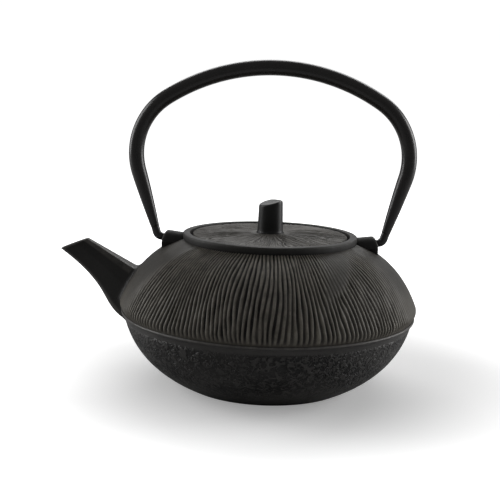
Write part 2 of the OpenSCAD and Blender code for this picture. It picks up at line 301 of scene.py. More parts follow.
def build_glaze_tone():
    """Two broad noises, one in the metre frame and one stretched upright, as drained glaze is."""
    tree, given, out = new_group("glaze_tone", [("Patch Size", 30.0)], ["Tone", "Smudge"])
    place = add_node(tree, "ShaderNodeTexCoord").outputs["Object"]
    scale = maths(tree, "DIVIDE", 1000.0, given.outputs["Patch Size"])
    broad = add_node(tree, "ShaderNodeTexNoise", None, Vector=place, Scale=scale, Detail=4.0,
                     Roughness=0.55).outputs["Fac"]
    drained = add_node(tree, "ShaderNodeMapping", {"vector_type": "POINT"}, Vector=place)
    drained.inputs["Scale"].default_value = (1.0, 1.0, 0.35)
    smudge = add_node(tree, "ShaderNodeTexNoise", None, Vector=drained.outputs[0],
                      Scale=maths(tree, "MULTIPLY", scale, 2.3), Detail=5.0, Roughness=0.6,
                      Distortion=0.4).outputs["Fac"]
    for value, label in ((broad, "Tone"), (smudge, "Smudge")):
        spread = add_node(tree, "ShaderNodeMapRange", None, Value=value)
        spread.inputs["From Min"].default_value = 0.3
        spread.inputs["From Max"].default_value = 0.7
        tree.links.new(spread.outputs[0], out.inputs[label])
    return tree


def build_edge_light_and_wear():
    """How far a point stands proud, eaten into by a patchy noise: painted highlight and wear."""
    tree, given, out = new_group("edge_light_and_wear", [("Proud", 0.0), ("Amount", 0.5)], ["Wear"])
    place = add_node(tree, "ShaderNodeTexCoord").outputs["Object"]
    patchy = add_node(tree, "ShaderNodeTexNoise", None, Vector=place, Scale=220.0, Detail=4.0,
                      Roughness=0.65).outputs["Fac"]
    eaten = maths(tree, "SUBTRACT", maths(tree, "MULTIPLY", patchy, 1.7), 0.35, clamp=True)
    highlight_and_wear = maths(tree, "MULTIPLY", maths(tree, "MULTIPLY", given.outputs["Proud"], eaten),
                 given.outputs["Amount"], clamp=True)
    tree.links.new(highlight_and_wear, out.inputs["Wear"])
    return tree


SAND_GRAIN, GLAZE_TONE, EDGE_LIGHT_AND_WEAR = build_sand_grain(), build_glaze_tone(), build_edge_light_and_wear()
print("node groups", [g.name for g in bpy.data.node_groups])


# %% [markdown]
# ### Glazed iron
#
# One function makes every iron finish. It reads two masks that the shapes carry: `hollow`, how
# deep a point lies in a groove, gap or recess, and `proud`, how much it stands on an edge or a
# ridge. Hollows are painted darker as painted shade, and edges and ridges are painted lighter
# as painted highlights with some wear, and are smoother there. The pebbling's pits get painted
# shade too. The sand grain and the pebbling go in as a bump.

# %% Glazed iron
def pebbles(tree):
    """A warped noise cut to a soft step, which draws short raised worms, and the mask for it."""
    place = add_node(tree, "ShaderNodeTexCoord").outputs["Object"]
    worms = add_node(tree, "ShaderNodeTexNoise", None, Vector=place, Scale=380.0, Detail=1.0,
                     Roughness=0.5, Distortion=1.2).outputs["Fac"]
    raised = add_node(tree, "ShaderNodeMapRange", {"interpolation_type": "SMOOTHSTEP"}, Value=worms)
    raised.inputs["From Min"].default_value = 0.42
    raised.inputs["From Max"].default_value = 0.58
    mask = add_node(tree, "ShaderNodeAttribute", {"attribute_name": "pebble"}).outputs["Fac"]
    return raised.outputs[0], mask


def glazed_iron(name, tone, hollow_tone, highlight_and_wear_tone, rough=(0.5, 0.68), grain=0.35, swell=0.8,
                bump_mm=0.1, highlight_and_wear=0.5, pebble_mm=0.0):
    material = bpy.data.materials.new(name)
    material.use_nodes = True
    tree = material.node_tree
    shader = tree.nodes["Principled BSDF"]
    hollow = add_node(tree, "ShaderNodeAttribute", {"attribute_name": "hollow"}).outputs["Fac"]
    proud = add_node(tree, "ShaderNodeAttribute", {"attribute_name": "proud"}).outputs["Fac"]
    sand = place_group(tree, SAND_GRAIN, Grain_Size=0.45, Grain=grain, Swell=swell)
    glaze = place_group(tree, GLAZE_TONE, Patch_Size=26.0)
    lit_and_worn = place_group(tree, EDGE_LIGHT_AND_WEAR, Proud=proud, Amount=highlight_and_wear).outputs["Wear"]

    thin = tuple(c * 1.22 for c in tone)
    thick = tuple(c * 0.8 for c in tone)
    colour = blend_colours(tree, glaze.outputs["Tone"], thick, thin)
    # Painted shade: the hollow mask darkens grooves, gaps and recesses towards the hollow tone.
    colour = blend_colours(tree, hollow, colour, hollow_tone)
    # Painted highlight with some wear: the proud mask, eaten by patchy noise, lightens edges and ridges.
    colour = blend_colours(tree, lit_and_worn, colour, highlight_and_wear_tone)
    # The sand grain's pale specks take the same pale tone.
    colour = blend_colours(tree, maths(tree, "MULTIPLY", sand.outputs["Specks"], 0.3), colour, highlight_and_wear_tone)
    height = sand.outputs["Height"]
    if pebble_mm:
        raised, mask = pebbles(tree)
        # Painted shade in the pebbling's pits, where the worms are not raised.
        sunk = maths(tree, "MULTIPLY", maths(tree, "SUBTRACT", 1.0, raised), mask)
        colour = blend_colours(tree, maths(tree, "MULTIPLY", sunk, 0.85), colour, hollow_tone)
        grown = maths(tree, "MULTIPLY", maths(tree, "MULTIPLY", raised, mask), pebble_mm / bump_mm)
        height = maths(tree, "ADD", height, grown)
    tree.links.new(colour, shader.inputs["Base Color"])

    smudged = maths(tree, "ADD", maths(tree, "MULTIPLY", glaze.outputs["Smudge"], rough[1] - rough[0]),
                    rough[0])
    rubbed = maths(tree, "SUBTRACT", smudged, maths(tree, "MULTIPLY", lit_and_worn, 0.12), clamp=True)
    tree.links.new(rubbed, shader.inputs["Roughness"])

    bump = add_node(tree, "ShaderNodeBump", None, Height=height)
    bump.inputs["Distance"].default_value = bump_mm * MM
    bump.inputs["Strength"].default_value = 1.0
    tree.links.new(bump.outputs[0], shader.inputs["Normal"])
    return material


# These tones are one iron at different brightnesses: the dome and the lid are set several times lighter than
# the plain iron, to make up for their painted-dark grooves and to lift their lit brightness, which is partly
# painted light.
IRON_DOME = glazed_iron("iron_dome", (0.104, 0.094, 0.077), (0.0012, 0.0011, 0.001),
                        (0.31, 0.285, 0.24), highlight_and_wear=1.0)
IRON_BOWL = glazed_iron("iron_bowl", (0.07, 0.067, 0.064), (0.003, 0.003, 0.003),
                        (0.2, 0.19, 0.178), rough=(0.4, 0.56), pebble_mm=1.4, highlight_and_wear=1.2)
IRON_LID = glazed_iron("iron_lid", (0.10, 0.092, 0.079), (0.0012, 0.0011, 0.001),
                       (0.16, 0.15, 0.13), highlight_and_wear=0.8)
IRON_PLAIN = glazed_iron("iron_plain", (0.017, 0.0157, 0.0138), (0.001, 0.001, 0.0009),
                         (0.12, 0.114, 0.105), rough=(0.56, 0.7), highlight_and_wear=0.8)
IRON_SPOUT = glazed_iron("iron_spout", (0.017, 0.016, 0.0148), (0.002, 0.0018, 0.0016),
                         (0.13, 0.123, 0.112), rough=(0.42, 0.56), highlight_and_wear=1.1)
IRON_KNOB = glazed_iron("iron_knob", (0.007, 0.0068, 0.0066), (0.004, 0.004, 0.004),
                        (0.075, 0.072, 0.07), rough=(0.34, 0.46), grain=0.18, swell=0.5)

# %% Black enamel
def black_enamel(name, tone, rough, coat):
    """Smooth stoved enamel: a dark base with faint orange peel, and a clear coat."""
    material = bpy.data.materials.new(name)
    material.use_nodes = True
    tree = material.node_tree
    shader = tree.nodes["Principled BSDF"]
    glaze = place_group(tree, GLAZE_TONE, Patch_Size=18.0)
    proud = add_node(tree, "ShaderNodeAttribute", {"attribute_name": "proud"}).outputs["Fac"]
    lit_and_worn = place_group(tree, EDGE_LIGHT_AND_WEAR, Proud=proud, Amount=0.5).outputs["Wear"]
    colour = blend_colours(tree, glaze.outputs["Tone"], tuple(c * 0.85 for c in tone),
                           tuple(c * 1.2 for c in tone))
    colour = blend_colours(tree, lit_and_worn, colour, (0.09, 0.087, 0.085))
    tree.links.new(colour, shader.inputs["Base Color"])
    smudged = maths(tree, "ADD", maths(tree, "MULTIPLY", glaze.outputs["Smudge"], 0.12), rough)
    tree.links.new(smudged, shader.inputs["Roughness"])
    shader.inputs["Coat Weight"].default_value = coat
    shader.inputs["Coat Roughness"].default_value = 0.3
    peel = place_group(tree, SAND_GRAIN, Grain_Size=0.9, Grain=0.25, Swell=0.9)
    bump = add_node(tree, "ShaderNodeBump", None, Height=peel.outputs["Height"])
    bump.inputs["Distance"].default_value = 0.05 * MM
    tree.links.new(bump.outputs[0], shader.inputs["Normal"])
    return material


BAIL_ENAMEL = black_enamel("bail_enamel", (0.018, 0.0155, 0.015), 0.24, 0.4)
POT_ENAMEL = black_enamel("pot_enamel", (0.012, 0.012, 0.013), 0.22, 0.3)

# %% Bare steel
def bare_steel(name, tone, rough, streak):
    """Steel with fine turning marks: noise stretched far round the axis, so it draws circles."""
    material = bpy.data.materials.new(name)
    material.use_nodes = True
    tree = material.node_tree
    shader = tree.nodes["Principled BSDF"]
    shader.inputs["Metallic"].default_value = 1.0
    place = add_node(tree, "ShaderNodeTexCoord").outputs["Object"]
    split = add_node(tree, "ShaderNodeSeparateXYZ", None, Vector=place)
    radius = maths(tree, "SQRT", maths(tree, "ADD",
                   maths(tree, "MULTIPLY", split.outputs[0], split.outputs[0]),
                   maths(tree, "MULTIPLY", split.outputs[1], split.outputs[1])))
    ringed = add_node(tree, "ShaderNodeCombineXYZ", None, X=radius, Y=split.outputs[2])
    marks = add_node(tree, "ShaderNodeTexNoise", None, Vector=ringed.outputs[0], Scale=3500.0,
                     Detail=2.0).outputs["Fac"]
    glaze = place_group(tree, GLAZE_TONE, Patch_Size=22.0)
    colour = blend_colours(tree, glaze.outputs["Tone"], tuple(c * 0.88 for c in tone), tone)
    tree.links.new(colour, shader.inputs["Base Color"])
    grade = maths(tree, "ADD", maths(tree, "MULTIPLY", marks, streak), rough)
    tree.links.new(grade, shader.inputs["Roughness"])
    bump = add_node(tree, "ShaderNodeBump", None, Height=marks)
    bump.inputs["Distance"].default_value = 0.01 * MM
    tree.links.new(bump.outputs[0], shader.inputs["Normal"])
    return material


STEEL_SHEET = bare_steel("steel_sheet", (0.62, 0.61, 0.59), 0.2, 0.25)
STEEL_MESH = bare_steel("steel_mesh", (0.56, 0.55, 0.53), 0.28, 0.2)
STEEL_SCREW = bare_steel("steel_screw", (0.5, 0.49, 0.47), 0.25, 0.2)
print("finishes", len(bpy.data.materials))

# %% [markdown]
# ## Sizes
#
# The body's outline is three curves and two small arcs, the same as in the part's design. The
# sizes stand here in millimetres, and the cell prints the belly radius beside the frame's box.

# %% Sizes of the pot
BELLY_R, BELLY_Z, RIM_Z, FOOT_R = 82.5, 46.0, 84.0, 47.0
WALL, FLOOR_T, EDGE_R, FIN_R = 3.2, 3.6, 4.4, 0.8
COLLAR_R, COLLAR_H, SEAT_R, SEAT_DEPTH, MOUTH_R, LEDGE_T = 48.5, 4.0, 44.4, 4.2, 40.2, 3.0
LEDGE_Z, SHOULDER_Z, HINGE_Z = RIM_Z - SEAT_DEPTH, RIM_Z - COLLAR_H, RIM_Z - 3.5
EDGE_TOP, EDGE_BOTTOM = 20.0, -62.0


def on_edge(centre, degrees):
    return centre + EDGE_R * np.array([math.cos(math.radians(degrees)), math.sin(math.radians(degrees))])


edge_c = np.array([BELLY_R - EDGE_R, BELLY_Z - 1.0])
dome_foot, edge_foot = on_edge(edge_c, EDGE_TOP), on_edge(edge_c, EDGE_BOTTOM)
fin_c = edge_foot + [0.8, -FIN_R]
bowl_top = fin_c + [-0.4, -FIN_R]
dome_top = np.array([COLLAR_R, SHOULDER_Z])
dome_pull = np.array([dome_top[0] + 0.725 * (dome_foot[0] - dome_top[0]),
                      dome_foot[1] + 0.73 * (dome_top[1] - dome_foot[1])])
bowl_foot = np.array([FOOT_R, 0.0])
bowl_pull = np.array([bowl_top[0] - 0.15 * (bowl_top[0] - bowl_foot[0]), 0.36 * bowl_top[1]])

low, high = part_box("pot_body")
print("belly radius", BELLY_R, "frame", round(high[1] / MM, 2))

# %% [markdown]
# ## The dome
#
# The dome's grooves were cut in the wooden pattern by hand, about two hundred of them, running
# from the collar to the belly like raked sand. They wander, crowd and spread, they differ in
# depth, and they fade out beside the spout, near the ears and in one soft patch at the front.
#
# A bump map could draw them, but real furrows catch the light properly from every side. So the
# dome is a fine turned grid, pushed inwards along its normal. The depth at a point is a narrow
# valley shape of its place across a groove, times that groove's own depth, times a fade.

# %% Where the grooves are deep
GROOVES = 200
DOME_COLS, DOME_ROWS = 1400, 69


def spread(degrees, middle):
    """Unsigned angle in degrees between each angle and a middle direction."""
    return np.abs((degrees - middle + 180) % 360 - 180)


def groove_fade(degrees, s):
    """1 where grooves are full, 0 on the smooth iron; s runs from 0 at the collar to 1 at the fin."""
    spout_side = spread(degrees, 180)
    fade = smooth_step(34 - 16 * s, 46 - 16 * s, spout_side)
    fade = fade * smooth_step(18, 38, spread(degrees, 0))
    fade = fade * (1 - 0.45 * smooth_step(66, 44, spread(degrees, 0)) * smooth_step(1.0, 0.6, s))
    for side in (-1, 1):
        fall = np.minimum(s / 0.6, 1)
        drift, width = side * (46 + 20 * fall), 15 - 12.5 * fall
        patch = np.exp(-(spread(degrees, drift) / width) ** 4) * smooth_step(0.7, 0.45, s)
        fade = fade * (1 - 0.9 * patch)
    ends = smooth_step(0.0, 0.02, s) * smooth_step(0.985, 0.93, s)
    return fade * ends


def dome_grooves(a, s):
    """How deep in a groove each point is, from 0 to 1.

    The place across the grooves is their number times the turn, plus slow and quick ripples.
    A valley is a raised cosine put through a soft step, and each groove has its own depth.
    """
    across = GROOVES * a / (2 * np.pi)
    across = across + 0.85 * ripple(a, s, (2, 8), (0.15, 0.8), 5)
    across = across + 0.11 * ripple(a, s, (14, 44), (0.6, 1.7), 6) + 0.04 * ripple(a, s, (50, 90), (2, 4), 7)
    own_depth = np.random.default_rng(8).uniform(0.7, 1.0, GROOVES)
    number = np.round(across).astype(int) % GROOVES
    valley = smooth_step(0.22, 0.98, 0.5 + 0.5 * np.cos(2 * np.pi * across))
    swell = 0.92 + 0.16 * ripple(a, s, (14, 50), (1, 4), 9)
    return np.clip(valley * own_depth[number] * swell, 0, 1)


# %% The dome's surface
dome_line = np.vstack([
    quad_curve(dome_foot, dome_pull, dome_top, 90)[::-1],
    arc(edge_c, EDGE_R, EDGE_TOP, -46, 24)[1:],
    [fin_c + [0.1, 0.7], fin_c + [-0.6, 0.1]],
])
dome_line = np.vstack([[dome_top + [-0.8, 0.35]], dome_line])
dome_line = even_steps(dome_line, DOME_ROWS)
dome_s = np.linspace(0, 1, DOME_ROWS)[:, None]
dome_a = around(DOME_COLS)[None, :]
dome_deg = np.degrees(dome_a)
dome_fade = groove_fade(dome_deg, dome_s)
dome_hollow = dome_grooves(dome_a, dome_s) * dome_fade
dome_depth = 0.85 + 0.3 * dome_s
unevenness = 0.05 * ripple(dome_a, dome_s, (2, 9), (0.5, 2), 12) * smooth_step(0, 0.1, dome_s)
dome_points = turned(dome_line, dome_a[0], -dome_hollow * dome_depth + unevenness)
# Painted highlight with some wear along the ridges between the grooves, through the proud mask; the grooves
# themselves take painted shade through the hollow mask.
ridge = (1 - dome_hollow) ** 3 * dome_fade * 0.9
# Painted shade on the smooth, ungrooved iron of the upper dome: under the collar, under the ears and beside
# the spout, and on the smooth patches.
smooth_dark = 0.6 * (1 - dome_fade) * smooth_step(1.0, 0.4, dome_s)
make_piece("dome", dome_points, "pot", ["pot_body"], IRON_DOME,
           masks={"hollow": np.maximum(dome_hollow, smooth_dark), "proud": ridge})

# %% [markdown]
# ## The bowl
#
# Below the belly the mould's two halves met in a thin fin, which was filed to an even bead. A
# smooth band runs under it, then the bowl is covered in fine wormy pebbling, and its foot is
# plain. The bead is part of the bowl's profile and carries a painted highlight. The pebbling is
# a bump with painted shade in its pits, and the mask `pebble` says how strong it is at each height.

# %% The bowl's surface
bowl_line = np.vstack([
    [fin_c + [-0.5, 0.6]],
    arc(fin_c + [0.1, 0], FIN_R, 95, -80, 12),
    quad_curve(bowl_foot, bowl_pull, bowl_top, 70)[::-1][1:],
    arc([FOOT_R - 1.2, 1.2], 1.2, -35, -90, 5)[1:],
    [[30, 0.0]],
])
bowl_a = around(640)
bowl_z = np.repeat(bowl_line[:, 1:], bowl_a.size, axis=1)
under_fin = fin_c[1] - FIN_R - bowl_z
pebble = smooth_step(2.6, 4.4, under_fin) * smooth_step(5, 17, bowl_z)
pebble = pebble * (0.82 + 0.3 * ripple(bowl_a[None, :], bowl_z / 40, (3, 9), (0.5, 2), 21))
# Painted highlight along the fin's bead, through the proud mask.
beaded = np.exp(-((bowl_z - fin_c[1] - 0.3) / 0.45) ** 2)
bowl_lift = 0.06 * ripple(bowl_a[None, :], bowl_z / 40, (2, 12), (0.3, 1.2), 22) * smooth_step(0.5, 6, bowl_z)
make_piece("bowl", turned(bowl_line, bowl_a, bowl_lift), "pot", ["pot_body"],
           IRON_BOWL, tips=(None, [0, 0, 0.0]),
           masks={"pebble": np.clip(pebble, 0, 1), "proud": beaded, "hollow": 0 * beaded})

# %% [markdown]
# ## The collar and the inside
#
# One more turned line makes the collar, the recess that the lid drops into, the ledge that
# carries the infuser, and the enamelled inside. The collar is as cast and the inside is
# black enamel, so the line is cut in two at the ledge.

# %% The collar and the recess
def rounded_corner(corner, before, after, radius, n=5):
    """A corner cut by a curve from radius short of it to radius past it."""
    corner, before, after = (np.array(p, float) for p in (corner, before, after))
    start = corner + radius * (before - corner) / np.linalg.norm(before - corner)
    end = corner + radius * (after - corner) / np.linalg.norm(after - corner)
    return quad_curve(start, corner, end, n)


collar_line = np.vstack([
    [[MOUTH_R + 0.02, LEDGE_Z - LEDGE_T + 0.4]],
    rounded_corner([MOUTH_R, LEDGE_Z], [MOUTH_R, 0], [SEAT_R, LEDGE_Z], 0.4),
    rounded_corner([SEAT_R, LEDGE_Z], [MOUTH_R, LEDGE_Z], [SEAT_R, RIM_Z], 0.4),
    rounded_corner([SEAT_R, RIM_Z], [SEAT_R, LEDGE_Z], [COLLAR_R, RIM_Z], 0.4),
    rounded_corner([COLLAR_R, RIM_Z], [SEAT_R, RIM_Z], [COLLAR_R, SHOULDER_Z], 1.3, 7),
    [[COLLAR_R - 0.1, RIM_Z - 2.4], [COLLAR_R - 0.25, SHOULDER_Z + 0.5], [COLLAR_R - 0.9, SHOULDER_Z - 1.2]],
])
collar_a = around(360)
collar_r, collar_z = collar_line[:, :1], collar_line[:, 1:]
# Painted highlights on the collar's rounded outer lip and on the seat's top edge.
on_lip = np.exp(-((collar_r - COLLAR_R + 0.5) / 0.7) ** 2 - ((collar_z - RIM_Z + 0.4) / 0.8) ** 2)
on_lip = 0.6 * on_lip + 0.6 * np.exp(-((collar_r - SEAT_R - 0.2) / 0.4) ** 2) * (collar_z > RIM_Z - 0.5)
# Painted shade on the lower part of the collar's outer wall, where it meets the dome, and in the seat beside
# the lid's gap.
in_corner = smooth_step(RIM_Z - 2.6, SHOULDER_Z, collar_z) * (collar_r > MOUTH_R + 2)
in_seat = smooth_step(SEAT_R + 0.5, SEAT_R, collar_r) * smooth_step(RIM_Z - 0.3, RIM_Z - 1.2, collar_z)
in_corner = np.maximum(in_corner, 1.6 * in_seat)
collar_wave = 0.05 * ripple(collar_a[None, :], collar_z / 10, (2, 7), (0.1, 0.3), 31)
make_piece("collar", turned(collar_line, collar_a, collar_wave), "pot", ["pot_body"],
           IRON_PLAIN,
           masks={"proud": np.repeat(np.clip(on_lip, 0, 1), 360, axis=1),
                  "hollow": np.repeat(np.clip(0.6 * in_corner, 0, 1), 360, axis=1)})

# %% The enamelled inside
in_edge_c = np.array([edge_c[0] - WALL, edge_c[1] - 0.6])
inside_line = np.vstack([
    [[MOUTH_R, LEDGE_Z - 0.9], [MOUTH_R, LEDGE_Z - LEDGE_T]],
    quad_curve(on_edge(in_edge_c, EDGE_TOP), dome_pull - WALL * 0.7,
               [MOUTH_R, LEDGE_Z - LEDGE_T], 30)[::-1][1:],
    arc(in_edge_c, EDGE_R, EDGE_TOP, EDGE_BOTTOM, 12)[1:],
    quad_curve([FOOT_R - 0.6 * WALL, FLOOR_T], bowl_pull + WALL * np.array([-0.75, 0.62]),
               on_edge(in_edge_c, EDGE_BOTTOM), 30)[::-1][1:],
    [[30, FLOOR_T]],
])
inside = make_piece("inside", turned(inside_line, around(192)), "pot", ["pot_body"],
                    POT_ENAMEL, tips=(None, [0, 0, FLOOR_T]), crease=50)
inside.data.flip_normals()

# %% [markdown]
# ## The spout
#
# The spout is a beak with a bevelled flat top, nearly flat cheeks and a rounded keel, cut
# slanting at the mouth. Each station is a closed section between a point on the straight top
# edge and a point on the S-shaped underside. The mouth is simply the first station. From there
# the surface turns over the rim and runs back inside as the channel, which ends blind. At the
# other end every line along the spout bends away in a small fillet that lands on the pot.

# %% The spout's two edges and its section
LIP = np.array([-116.7, 72.0])
BEAK = LIP + [15.0, 6.0]
TOP_ROOT = np.array([-62.5, BEAK[1] - (-62.5 - BEAK[0]) * math.tan(math.radians(30))])
UNDER_ROOT = np.array([-(BELLY_R - 3.4), 33.5])
LIP_PULL, ROOT_PULL = LIP + [30.4, -21.4], UNDER_ROOT + [-15.6, 8.8]
SPOUT_WALL, SECTION = 2.1, 120


def soften(loops, passes):
    """Each point moves to the weighted mean of itself and its two neighbours round the loop."""
    for _ in range(passes):
        loops = 0.5 * loops + 0.25 * (np.roll(loops, 1, axis=1) + np.roll(loops, -1, axis=1))
    return loops


def spout_stations(t, inset):
    """Sections at t = 0 (mouth) to 1 (root), inset by a wall's thickness all round.

    A section runs from the top's middle down one cheek, round the keel and up the other.
    Its height goes from the top edge to the underside, and its half width is the top flat's,
    then grows down the cheek, and closes under the keel.
    """
    under = cubic_curve(LIP, LIP_PULL, ROOT_PULL, UNDER_ROOT, t)
    top = BEAK + t[:, None] * (TOP_ROOT - BEAK)
    span = np.linalg.norm(top - under, axis=1)[:, None]
    flat = (2.5 + 7.9 * t ** 1.1)[:, None] - inset * 0.55
    cheek = (3.7 + 7.4 * t)[:, None] - inset * 0.9
    keel = (2.2 + 5.6 * t)[:, None] - inset * 0.7
    key_v = np.array([0, 0.11, 0.2, 0.42, 0.78, 0.9, 1.0])
    v = np.abs(np.linspace(-1, 1, SECTION, endpoint=False))[None, :]
    side = np.sign(np.linspace(-1, 1, SECTION, endpoint=False))[None, :]
    bevel = 0.35 * flat + 0.62 * cheek
    widths = np.stack([0 * flat, 0.72 * flat, bevel, cheek, 0.96 * cheek, keel, 0 * keel], axis=2)[:, 0]
    heights = np.array([0, 0, 0.15, 0.42, 0.88, 1.0, 1.0])
    bin_of = np.clip(np.searchsorted(key_v, v[0], side="right") - 1, 0, 5)
    part = ((v[0] - key_v[bin_of]) / (key_v[bin_of + 1] - key_v[bin_of]))[None, :]
    width = widths[:, bin_of] * (1 - part) + widths[:, bin_of + 1] * part
    height = (heights[bin_of] * (1 - part[0]) + heights[bin_of + 1] * part[0])[None, :]
    edge = inset / span
    height = edge + height * (1 - 2 * edge)
    x = top[:, :1] + height * (under[:, :1] - top[:, :1])
    z = top[:, 1:] + height * (under[:, 1:] - top[:, 1:])
    return np.stack([x, side * width, z], axis=2)


# %% Where the spout meets the pot
outline = np.vstack([quad_curve(bowl_foot, bowl_pull, bowl_top, 60),
                     arc(edge_c, EDGE_R, EDGE_BOTTOM, EDGE_TOP, 12),
                     quad_curve(dome_foot, dome_pull, dome_top, 60)[1:]])


def pot_radius(z):
    return np.interp(z, outline[:, 1], outline[:, 0])


def onto_pot(points, sink):
    """The same points moved level towards the axis until they are sink inside the pot's surface."""
    radius = np.hypot(points[..., 0], points[..., 1])
    scale = (pot_radius(points[..., 2]) - sink) / radius
    return np.stack([points[..., 0] * scale, points[..., 1] * scale, points[..., 2]], axis=-1)


def along_station(samples, where):
    """Each column's point at its own fractional row."""
    row = np.clip(where, 0, len(samples) - 1.001)
    whole = row.astype(int)
    part = (row - whole)[:, None]
    column = np.arange(samples.shape[1])
    return samples[whole, column] * (1 - part) + samples[whole + 1, column] * part


t_fine = np.linspace(0, 1, 240)
outer = soften(spout_stations(t_fine, 0.0), 1)
stand_off = np.hypot(outer[..., 0], outer[..., 1]) - pot_radius(outer[..., 2])
FILLET = 3.2
meets = (stand_off > 0).cumprod(axis=0).sum(axis=0) - 0.5
leaves = (stand_off > FILLET).cumprod(axis=0).sum(axis=0) - 0.5
touch, lift_off = along_station(outer, meets), along_station(outer, leaves)
middle_line = touch.mean(axis=0)
away = touch - middle_line
away[:, 0] = 0
away /= np.linalg.norm(away, axis=1, keepdims=True)
landing = onto_pot(touch + 0.9 * FILLET * away, 0.12)

# %% The spout's surface
steps = np.linspace(0, 1, 46)[:, None]
outside = np.stack([along_station(outer, s * leaves) for s in steps[:, 0]])
bend_t = np.linspace(0, 1, 9)[1:, None, None]
fillet_rows = ((1 - bend_t) ** 2 * lift_off + 2 * bend_t * (1 - bend_t) * touch + bend_t ** 2 * landing)
channel = soften(spout_stations(np.linspace(0.0, 0.72, 24), SPOUT_WALL), 3)
rim = np.stack([0.7 * channel[0] + 0.3 * outside[0], 0.3 * channel[0] + 0.7 * outside[0]])
mouth_out = np.array([-(BEAK - LIP)[1], 0, (BEAK - LIP)[0]]) / np.linalg.norm(BEAK - LIP)
rim = rim + 0.18 * mouth_out
spout_points = np.concatenate([channel[::-1], rim, outside, fillet_rows])
count = [len(channel), len(rim), len(outside), len(fillet_rows)]
v_sign = np.abs(np.linspace(-1, 1, SECTION, endpoint=False))[None, :]
# Painted highlights along the flat top strip and the keel, and on the mouth's rim.
arris = smooth_step(0.205, 0.195, v_sign) + 0.7 * np.exp(-((v_sign - 0.86) / 0.05) ** 2)
spout_proud = np.concatenate([np.zeros((count[0], SECTION)), np.ones((count[1], SECTION)),
                              np.repeat(arris, count[2], axis=0), np.zeros((count[3], SECTION))])
# Painted shade down the channel inside the spout.
spout_hollow = np.concatenate([np.ones((count[0] - 1, SECTION)),
                               np.zeros((sum(count) - count[0] + 1, SECTION))])
spout_proud[count[0] + count[1]] = 1
make_piece("spout", spout_points, "pot", ["pot_body"], IRON_SPOUT,
           tips=(channel[-1].mean(axis=0), None), masks={"proud": spout_proud, "hollow": spout_hollow},
           crease=38)

# %% [markdown]
# ## The ears
#
# Each ear is a round-topped lug that leans up and outwards from the collar. Its outer end is
# bevelled, and the bail's pin turns in a hole there. The section is carried outwards along X.
# Then it closes over the end face onto the hole's circle, and goes in as the bore.

# %% An ear
EAR_REACH, EAR_R, EAR_CROWN, EAR_TILT = 59.8, 6.2, 3.7, 7.0
BORE_R, BORE_DEPTH = 1.79, 8.4


def ear_points(side):
    """Rows: lug section at growing x, a small rounding, the end face, then the bore."""
    top = HINGE_Z + EAR_CROWN
    q = np.linspace(0, 1, 97)[:-1]
    arch = np.radians(np.interp(q, [0.22, 0.78], [0, 180]))
    y = EAR_R * np.cos(arch)
    z = -EAR_R + EAR_R * np.sin(arch)
    leg = np.where(q < 0.22, 1 - q / 0.22, np.where(q > 0.78, (q - 0.78) / 0.22, 0))
    y = y * (1 - 0.42 * leg ** 0.8)
    z = z - 8.5 * leg
    round_the_hole = np.arctan2(z + EAR_CROWN, y)

    def end_x(height):
        """How far out the bevelled end is at each height below the ear's top."""
        return np.interp(-height, [0, 1.84, 4.6, 14],
                         [EAR_REACH - 2.7, EAR_REACH - 0.95, EAR_REACH, EAR_REACH + 0.3])

    tilt = math.tan(math.radians(EAR_TILT))
    rows = []
    for x_part, shrink in ((0.0, 0), (0.5, 0), (0.85, 0), (0.94, 0), (0.985, 0.12), (1.0, 0.45)):
        ys, zs = y * (1 - shrink / EAR_R), z - shrink * (1 - leg)
        x = (COLLAR_R - 3) + x_part * (end_x(zs) - COLLAR_R + 3)
        rise = (x - EAR_REACH + 2.7) * tilt * (1 - leg) * (x < EAR_REACH - 2.7)
        rows.append(np.column_stack([x, ys, top + zs + rise]))
    for w in (0.25, 0.5, 0.75, 0.93, 1.0):
        ys = (1 - w) * rows[5][:, 1] + w * BORE_R * np.cos(round_the_hole)
        zs = (1 - w) * (rows[5][:, 2] - top) + w * (-EAR_CROWN + BORE_R * np.sin(round_the_hole))
        rows.append(np.column_stack([end_x(zs), ys, top + zs]))
    for depth in (0.3, BORE_DEPTH):
        rows.append(np.column_stack([rows[10][:, 0] - depth, rows[10][:, 1], rows[10][:, 2]]))
    points = np.stack(rows)
    points[..., 0] *= side
    return points


for side, label in ((-1, "spout"), (1, "rear")):
    points = ear_points(side)
    # Painted highlight on the rounding round each ear's bevelled end.
    edge = np.zeros(points.shape[:2])
    edge[3:6] = [[0.3], [1.0], [0.8]]
    make_piece(f"ear_{label}", points, "pot", ["pot_body"], IRON_PLAIN,
               tips=(None, points[-1].mean(axis=0)), masks={"proud": edge, "hollow": 0 * edge}, crease=60)

# %% [markdown]
# ## The lid
#
# The lid is nearly flat. Its top has fine needle grooves running out from the knob, and they
# notch the edge. It is turned in one line: top, rounded edge, underside and the skirt that
# keeps it centred. The vent is a narrow pit in the same grid, so the rings close up near it.

# %% The lid's line and grooves
LID_Z, LID_T, LID_RISE, LID_R = LEDGE_Z + 0.8, 3.0, 1.0, SEAT_R - 1.6
PAD_R, SKIRT_R, SKIRT_T, SKIRT_H = 7.9, 37.7, 2.2, 6.0
VENT = 32.5 * np.array([math.cos(math.radians(57)), math.sin(math.radians(57))])
NEEDLES = 165
lid_edge_z = LID_Z + LID_T

